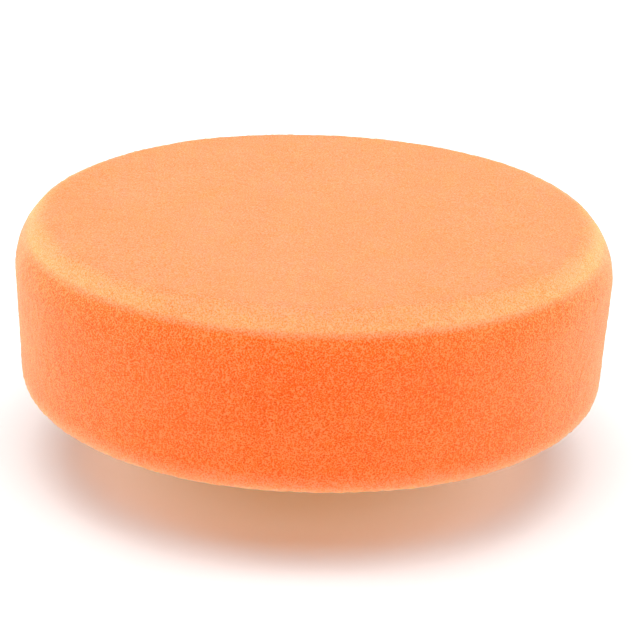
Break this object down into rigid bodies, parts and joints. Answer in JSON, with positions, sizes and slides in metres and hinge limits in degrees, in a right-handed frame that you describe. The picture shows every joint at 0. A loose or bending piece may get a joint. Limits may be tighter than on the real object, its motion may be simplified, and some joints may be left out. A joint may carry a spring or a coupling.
{
  "type": "polishing pad",
  "caption": "Round foam polishing pad glued to a ribbed plastic backing plate, with a threaded steel nut in its hub for a rotary polisher's spindle.",
  "frame": {"origin": "centre of the nut's free end face, which seats on the spindle's shoulder and is the lowest face of the pad", "axes": "+Z along the spindle axis, from the nut towards the polishing face; +X along the middle of one radial rib of the backing plate"},
  "size_m": [0.15, 0.15, 0.065],
  "materials": {
    "foam": "matte",
    "adhesive": "satin",
    "plate_plastic": "satin",
    "nut_steel": "satin"
  },
  "bodies": {
    "root": {"foam_disc": "foam", "adhesive_film": "adhesive", "backing_plate": "plate_plastic", "spindle_nut": "nut_steel"}
  },
  "joints": []
}
